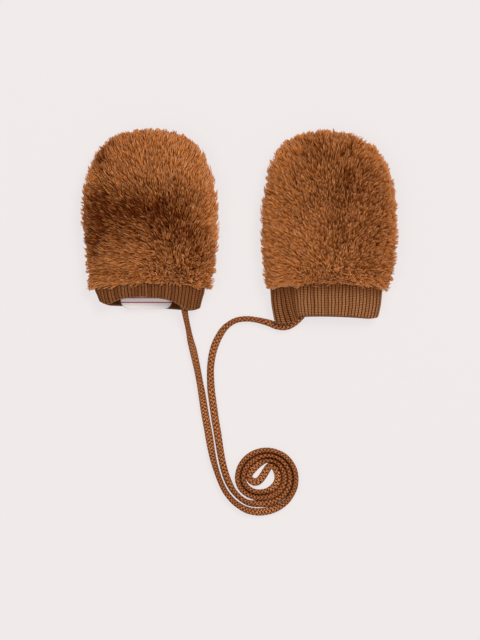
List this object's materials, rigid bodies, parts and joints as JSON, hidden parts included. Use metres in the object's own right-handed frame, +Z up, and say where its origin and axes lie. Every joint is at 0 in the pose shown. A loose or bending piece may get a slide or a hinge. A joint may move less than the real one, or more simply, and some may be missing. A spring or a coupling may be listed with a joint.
{
  "type": "pair of baby mittens on a cord",
  "caption": "Pair of baby mittens in long-pile teddy fur with ribbed knit cuffs, laid flat and joined by one knitted cord rolled into a flat coil.",
  "frame": {"origin": "on the floor, at the centre of the two mittens' box, the cord left out", "axes": "+X across the pair, from the left mitten to the right one; +Y from the cuffs to the fingertips; +Z up from the floor"},
  "size_m": [0.2212, 0.2701, 0.025],
  "materials": {
    "teddy_fur": "long tufted pile, soft sheen",
    "rib_knit": "matte fine knit",
    "knitted_cord": "matte knit tube",
    "woven_label": "smooth satin weave"
  },
  "bodies": {
    "root": {"left_front_fur": "teddy_fur", "left_back_fur": "teddy_fur", "left_cuff": "rib_knit", "left_label": "woven_label", "right_front_fur": "teddy_fur", "right_back_fur": "teddy_fur", "right_cuff": "rib_knit", "cord_left": "knitted_cord", "cord_coil": "knitted_cord", "cord_right": "knitted_cord"}
  },
  "joints": []
}
